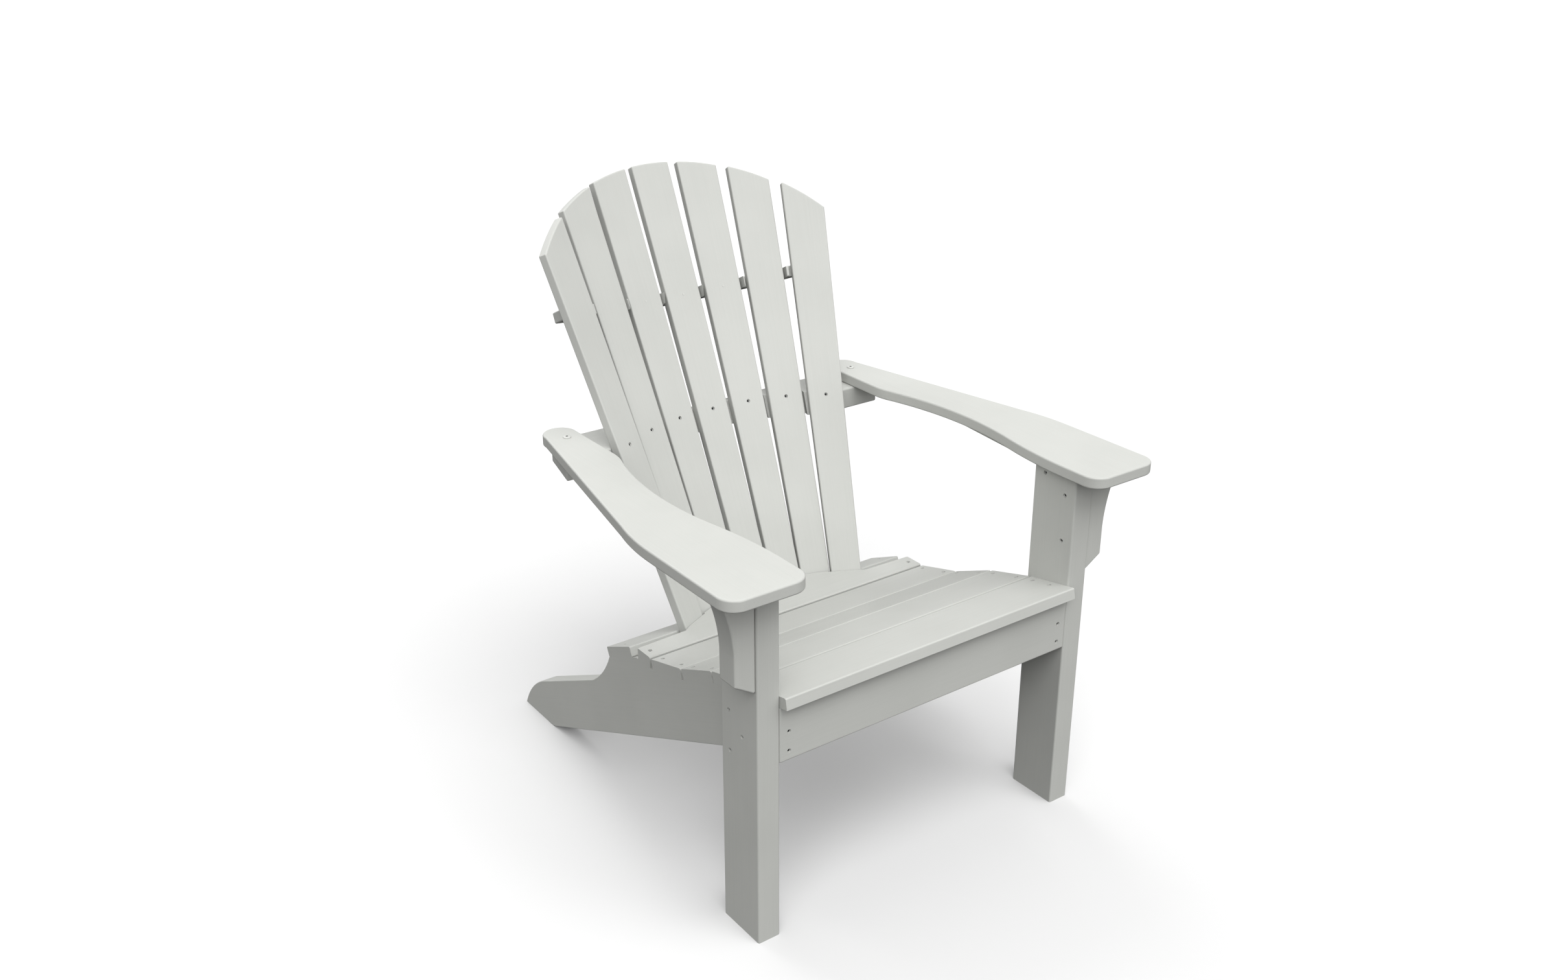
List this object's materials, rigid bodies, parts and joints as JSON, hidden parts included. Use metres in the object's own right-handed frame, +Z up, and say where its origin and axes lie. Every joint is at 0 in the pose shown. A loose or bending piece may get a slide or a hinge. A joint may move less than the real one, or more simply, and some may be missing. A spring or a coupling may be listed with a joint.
{
  "type": "adirondack chair",
  "caption": "Low slatted garden armchair with a fan-shaped reclined back, a sloping seat, wide flat arms and side rails that reach back to the floor as rear feet.",
  "frame": {"origin": "on the floor, in the middle of the chair's width and depth", "axes": "+Z up; the front of the chair faces -Y and the back leans towards +Y; +X is on the right as seen from the front"},
  "size_m": [0.8004, 0.8623, 0.9807],
  "materials": {
    "lumber": "light warm grey poly lumber with a fine satin surface",
    "screws": "colour-matched satin coating"
  },
  "bodies": {
    "root": {"front_leg_left": "lumber", "front_leg_right": "lumber", "side_rail_left": "lumber", "side_rail_right": "lumber", "front_apron": "lumber", "seat_slat_1": "lumber", "seat_slat_2": "lumber", "seat_slat_3": "lumber", "seat_slat_4": "lumber", "seat_slat_5": "lumber", "lower_back_rail": "lumber", "upper_back_rail": "lumber", "top_back_strip": "lumber", "back_slat_1": "lumber", "back_slat_2": "lumber", "back_slat_3": "lumber", "back_slat_4": "lumber", "back_slat_5": "lumber", "back_slat_6": "lumber", "back_slat_7": "lumber", "arm_left": "lumber", "arm_right": "lumber", "arm_bracket_left": "lumber", "arm_bracket_right": "lumber", "arm_batten_left": "lumber", "arm_batten_right": "lumber", "leg_screws": "screws", "apron_screws": "screws", "bracket_screws": "screws", "batten_screws": "screws", "arm_under_screws": "screws", "arm_rear_screws": "screws", "seat_screws": "screws", "lower_rail_screws": "screws", "back_middle_screws": "screws", "back_foot_screws": "screws", "back_top_screws": "screws"}
  },
  "joints": []
}
